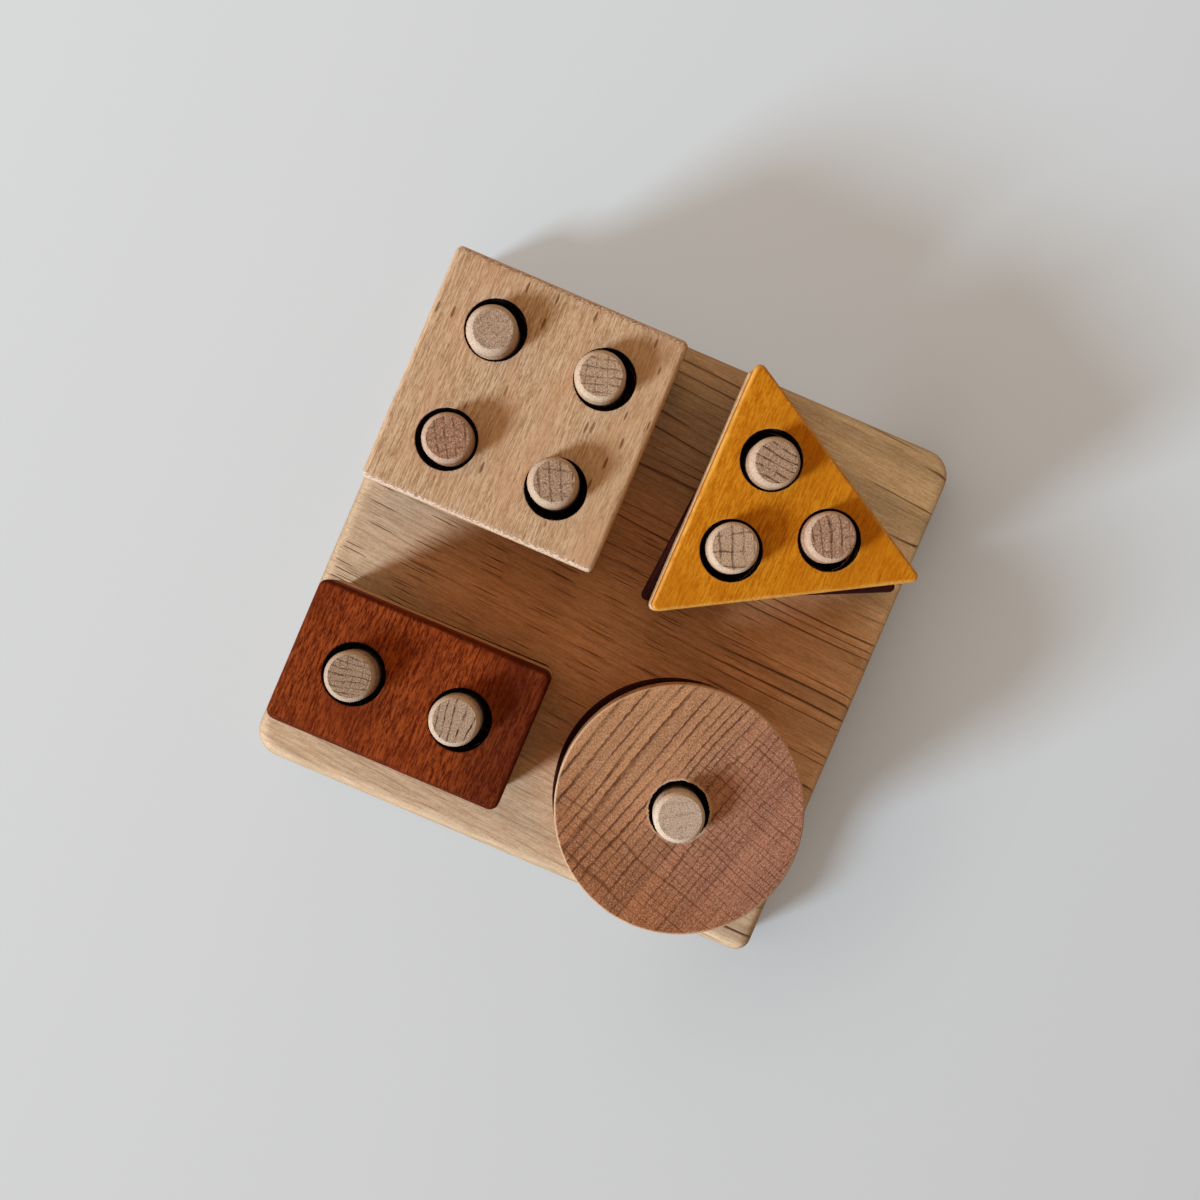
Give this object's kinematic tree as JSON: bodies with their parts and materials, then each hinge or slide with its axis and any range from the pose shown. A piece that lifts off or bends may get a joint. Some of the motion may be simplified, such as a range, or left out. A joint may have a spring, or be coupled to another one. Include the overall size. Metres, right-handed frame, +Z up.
{
  "type": "stacking pegboard",
  "caption": "Square wooden board with round pegs in groups, and stacks of drilled square, triangle, rectangle and disc blocks that drop loosely over them",
  "frame": {"origin": "centre of the board's flat underside", "axes": "+Z is up, out of the board along the pegs. +X runs along the board's side from the square stack to the triangle stack, and +Y from the rectangle stack to the square stack"},
  "size_m": [0.12, 0.12, 0.0452],
  "materials": {
    "board_wood": "oiled satin",
    "peg_wood": "sanded end grain",
    "natural_wood": "oiled satin",
    "mustard_wood": "stained satin",
    "russet_wood": "stained satin",
    "maroon_wood": "stained satin"
  },
  "bodies": {
    "board_with_pegs": {"base_board": "board_wood", "square_peg_1": "peg_wood", "square_peg_2": "peg_wood", "square_peg_3": "peg_wood", "square_peg_4": "peg_wood", "triangle_peg_1": "peg_wood", "triangle_peg_2": "peg_wood", "triangle_peg_3": "peg_wood", "rectangle_peg_1": "peg_wood", "rectangle_peg_2": "peg_wood", "disc_peg": "peg_wood"},
    "square_block_1": {"square_maroon": "maroon_wood"},
    "square_block_2": {"square_russet": "russet_wood"},
    "square_block_3": {"square_mustard": "mustard_wood"},
    "square_block_4": {"square_natural": "natural_wood"},
    "triangle_block_1": {"triangle_russet": "russet_wood"},
    "triangle_block_2": {"triangle_maroon": "maroon_wood"},
    "triangle_block_3": {"triangle_natural": "natural_wood"},
    "triangle_block_4": {"triangle_mustard": "mustard_wood"},
    "rectangle_block_1": {"rectangle_maroon": "maroon_wood"},
    "rectangle_block_2": {"rectangle_mustard": "mustard_wood"},
    "rectangle_block_3": {"rectangle_natural": "natural_wood"},
    "rectangle_block_4": {"rectangle_russet": "russet_wood"},
    "disc_block_1": {"disc_mustard": "mustard_wood"},
    "disc_block_2": {"disc_maroon": "maroon_wood"},
    "disc_block_3": {"disc_russet": "russet_wood"},
    "disc_block_4": {"disc_natural": "natural_wood"}
  },
  "joints": [
    {"name": "lift_square_1", "type": "slide", "parent": "board_with_pegs", "child": "square_block_1", "axis": [0, 0, 1], "range_m": [0, 0.037]},
    {"name": "lift_square_2", "type": "slide", "parent": "square_block_1", "child": "square_block_2", "axis": [0, 0, 1], "range_m": [0, 0.03]},
    {"name": "lift_square_3", "type": "slide", "parent": "square_block_2", "child": "square_block_3", "axis": [0, 0, 1], "range_m": [0, 0.023]},
    {"name": "lift_square_4", "type": "slide", "parent": "square_block_3", "child": "square_block_4", "axis": [0, 0, 1], "range_m": [0, 0.016]},
    {"name": "lift_triangle_1", "type": "slide", "parent": "board_with_pegs", "child": "triangle_block_1", "axis": [0, 0, 1], "range_m": [0, 0.037]},
    {"name": "lift_triangle_2", "type": "slide", "parent": "triangle_block_1", "child": "triangle_block_2", "axis": [0, 0, 1], "range_m": [0, 0.03]},
    {"name": "lift_triangle_3", "type": "slide", "parent": "triangle_block_2", "child": "triangle_block_3", "axis": [0, 0, 1], "range_m": [0, 0.023]},
    {"name": "lift_triangle_4", "type": "slide", "parent": "triangle_block_3", "child": "triangle_block_4", "axis": [0, 0, 1], "range_m": [0, 0.016]},
    {"name": "lift_rectangle_1", "type": "slide", "parent": "board_with_pegs", "child": "rectangle_block_1", "axis": [0, 0, 1], "range_m": [0, 0.037]},
    {"name": "lift_rectangle_2", "type": "slide", "parent": "rectangle_block_1", "child": "rectangle_block_2", "axis": [0, 0, 1], "range_m": [0, 0.03]},
    {"name": "lift_rectangle_3", "type": "slide", "parent": "rectangle_block_2", "child": "rectangle_block_3", "axis": [0, 0, 1], "range_m": [0, 0.023]},
    {"name": "lift_rectangle_4", "type": "slide", "parent": "rectangle_block_3", "child": "rectangle_block_4", "axis": [0, 0, 1], "range_m": [0, 0.016]},
    {"name": "lift_disc_1", "type": "slide", "parent": "board_with_pegs", "child": "disc_block_1", "axis": [0, 0, 1], "range_m": [0, 0.037]},
    {"name": "lift_disc_2", "type": "slide", "parent": "disc_block_1", "child": "disc_block_2", "axis": [0, 0, 1], "range_m": [0, 0.03]},
    {"name": "lift_disc_3", "type": "slide", "parent": "disc_block_2", "child": "disc_block_3", "axis": [0, 0, 1], "range_m": [0, 0.023]},
    {"name": "lift_disc_4", "type": "slide", "parent": "disc_block_3", "child": "disc_block_4", "axis": [0, 0, 1], "range_m": [0, 0.016]}
  ]
}
